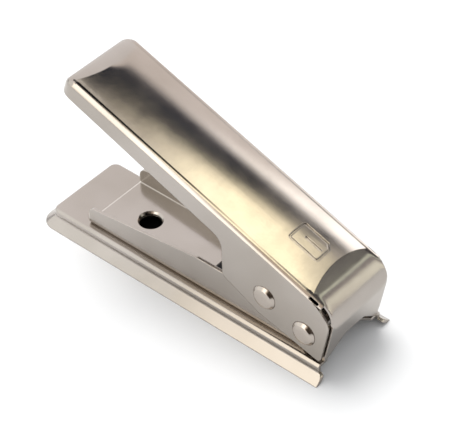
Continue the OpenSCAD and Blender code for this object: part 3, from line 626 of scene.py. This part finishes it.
def key_lamp():
    """The one lamp, large and soft. Reflections see the vault in its place."""
    data = bpy.data.lights.new("key", "AREA")
    data.shape = "RECTANGLE"
    data.size, data.size_y = KEY_SIZE[0] * MM, KEY_SIZE[1] * MM
    data.energy = KEY_POWER
    data.color = KEY_COLOUR
    obj = bpy.data.objects.new("key", data)
    obj.location = Vector(KEY_PLACE) * MM
    obj.rotation_mode = "QUATERNION"
    beam = Vector(KEY_TOWARDS) - Vector(KEY_PLACE)
    obj.rotation_quaternion = beam.to_track_quat("-Z", "Y")
    scene.collection.objects.link(obj)
    obj.visible_glossy = False


floor(FLOOR_REACH)
studio_world()
key_lamp()

# ------------------------------------------------------------------ the vault
# The studio that the plating mirrors: a half tube over the table, along x, lit in soft fields.
# Only reflections see it. Its radius, half length, height above the floor, and its turn in degrees:
# 0 is the far side, 90 overhead and 180 the near side.
VAULT_R, VAULT_L, VAULT_STEPS = 0.45, 2.4, 96
VAULT_RISE, VAULT_START, VAULT_SPAN = 0.02, -4, 188
VAULT_STRENGTH = 1.08

# The fields' colours, tuned. The pairs are where each field starts and is full: along x in
# mm, or where the name says TURN, round the vault in degrees.
FAR_X, FAR_PAPER, FAR_LIGHT = (-55, 10), rgb(1.12, 1.04, 1.0), rgb(2.7, 2.65, 2.6)
# the room's edge: its turn, which leans with x on the left, and dips over a stretch on the right
ROOM_TURN, ROOM_LEAN = (29, 48), 0.16
ROOM_DIP_X, ROOM_DIP = (0, 45), 7
ROOM_X, ROOM_DARK, ROOM_WARM = (38, 92), rgb(0.05, 0.055, 0.075), rgb(1.0, 0.94, 0.85)
# the overhead lamp: its edge leans with x, and its right end leans with the turn
OVERHEAD_TURN, OVERHEAD_LEAN = (71, 95), 0.37
OVERHEAD_X, OVERHEAD_GREY, OVERHEAD_LIGHT = (2, 58), rgb(0.74, 0.69, 0.63), rgb(3.1, 2.9, 2.15)
OVERHEAD_END_X, OVERHEAD_END = (84, 104), rgb(0.62, 0.58, 0.50)
OVERHEAD_END_TURN, OVERHEAD_END_LEAN = 68, 1.1
# what the lever's rear bend mirrors: dark, grey, a thin light, grey, cream and grey again
BEHIND = (
    ((130, 190), rgb(0.10, 0.095, 0.10)),
    ((290, 360), rgb(0.26, 0.24, 0.245)),
    ((350, 385), rgb(1.3, 1.4, 1.15)),
    ((395, 440), rgb(0.34, 0.30, 0.32)),
    ((510, 590), rgb(1.5, 1.5, 1.3)),
    ((690, 740), rgb(0.55, 0.47, 0.48)),
)
LEFT_X, LEFT_GREY = (-120, -230), rgb(1.15, 1.12, 1.12)
# the near side's window: bright by the front, dimmer past the rear, dark to the right and low
# there, a little dimmer to the left and more so beyond
NEAR_TURN = (96, 101)
WINDOW_X, WINDOW_LIGHT, WINDOW_REAR = (-5, 60), rgb(2.7, 2.65, 2.5), rgb(0.95, 0.8, 0.66)
RIGHT_X, RIGHT_DARK = (110, 200), rgb(0.13, 0.10, 0.08)
LOW_X, LOW_TURN, LOW_DARK = (55, 115), (125, 145), rgb(0.06, 0.045, 0.035)
NEAR_LEFT_X, NEAR_LEFT_END_X = (-110, -190), (-260, -205)
NEAR_LEFT_FAR, NEAR_LEFT_NEAR = rgb(1.3, 1.32, 1.3), rgb(2.1, 2.0, 1.8)


def vault_fields():
    """The vault's material: light in soft fields, each laid over those before it."""
    material = bpy.data.materials.new("vault_fields")
    t = Tree(material)
    place_x, y, place_z = t.xyz()
    x = t.times(place_x, 1 / MM)
    z = t.math("SUBTRACT", place_z, VAULT_RISE)
    turn = t.times(t.math("ARCTAN2", z, y), 180 / math.pi)

    # far side, low: grey-pink paper by the front of the lever, white light by its rear
    colour = t.mix(t.step(x, *FAR_X), FAR_PAPER, FAR_LIGHT)
    # far side, higher: the dark of the room
    edge = t.plus(turn, t.times(t.math("MINIMUM", x, 0), ROOM_LEAN))
    edge = t.plus(edge, t.remap(x, *ROOM_DIP_X, 0, ROOM_DIP))
    room = t.mix(t.step(x, *ROOM_X), ROOM_DARK, ROOM_WARM)
    colour = t.mix(t.step(edge, *ROOM_TURN), colour, room)
    # overhead lamp, over the rear of the lever
    edge = t.plus(turn, t.times(x, OVERHEAD_LEAN))
    overhead = t.mix(t.step(x, *OVERHEAD_X), OVERHEAD_GREY, OVERHEAD_LIGHT)
    past_turn = t.math("SUBTRACT", turn, OVERHEAD_END_TURN)
    end = t.math("SUBTRACT", x, t.times(past_turn, OVERHEAD_END_LEAN))
    overhead = t.mix(t.step(end, *OVERHEAD_END_X), overhead, OVERHEAD_END)
    colour = t.mix(t.step(edge, *OVERHEAD_TURN), colour, overhead)
    for places, tone in BEHIND:
        colour = t.mix(t.step(x, *places), colour, tone)
    # left of the lever: plain light grey
    colour = t.mix(t.step(x, *LEFT_X), colour, LEFT_GREY)
    # near side: the window
    window = t.mix(t.step(x, *WINDOW_X), WINDOW_LIGHT, WINDOW_REAR)
    window = t.mix(t.step(x, *RIGHT_X), window, RIGHT_DARK)
    window = t.mix(t.times(t.step(x, *LOW_X), t.step(turn, *LOW_TURN)), window, LOW_DARK)
    far_left = t.mix(t.step(x, *NEAR_LEFT_END_X), NEAR_LEFT_FAR, NEAR_LEFT_NEAR)
    window = t.mix(t.step(x, *NEAR_LEFT_X), window, far_left)
    colour = t.mix(t.step(turn, *NEAR_TURN), colour, window)
    t.surface(
        "ShaderNodeEmission",
        "ShaderNodeOutputMaterial",
        {"Color": colour, "Strength": VAULT_STRENGTH},
    )
    return material


def vault():
    verts, faces = [], []
    for i in range(VAULT_STEPS + 1):
        a = math.radians(VAULT_START + VAULT_SPAN * i / VAULT_STEPS)
        for x in (-VAULT_L, VAULT_L):
            verts.append((x, VAULT_R * math.cos(a), VAULT_RISE + VAULT_R * math.sin(a)))
    for i in range(VAULT_STEPS):
        faces.append((2 * i, 2 * i + 1, 2 * i + 3, 2 * i + 2))
    mesh = bpy.data.meshes.new("vault")
    mesh.from_pydata(verts, [], faces)
    obj = add_object("vault", mesh, vault_fields())
    for ray in ("camera", "diffuse", "shadow", "transmission", "volume_scatter"):
        setattr(obj, "visible_" + ray, False)


vault()

# ----------------------------------------------------------------- the camera
TARGET = Vector((-3.814, 10.694, 10.0)) * MM
AZIMUTH, ELEVATION, ROLL = math.radians(40.5), math.radians(42.66), math.radians(-0.55)
DISTANCE = 562.85 * MM
FOCAL_PX, WIDTH_PX, SENSOR = 1971.25, 450, 36.0


def photo_camera():
    """The camera at the photograph's place, turned to TARGET and rolled by ROLL."""
    back = Vector((
        math.sin(AZIMUTH) * math.cos(ELEVATION),
        -math.cos(AZIMUTH) * math.cos(ELEVATION),
        math.sin(ELEVATION),
    ))
    right = Vector((math.cos(AZIMUTH), math.sin(AZIMUTH), 0))
    up = back.cross(right)
    side = right * math.cos(ROLL) + up * math.sin(ROLL)
    above = up * math.cos(ROLL) - right * math.sin(ROLL)
    camera = bpy.data.cameras.new("camera")
    camera.lens = FOCAL_PX / WIDTH_PX * SENSOR
    camera.sensor_width = SENSOR
    eye = bpy.data.objects.new("camera", camera)
    turned = Matrix((side, above, back)).transposed().to_4x4()
    eye.matrix_world = Matrix.Translation(TARGET + back * DISTANCE) @ turned
    scene.collection.objects.link(eye)
    scene.camera = eye


photo_camera()
scene.view_settings.view_transform = "Standard"
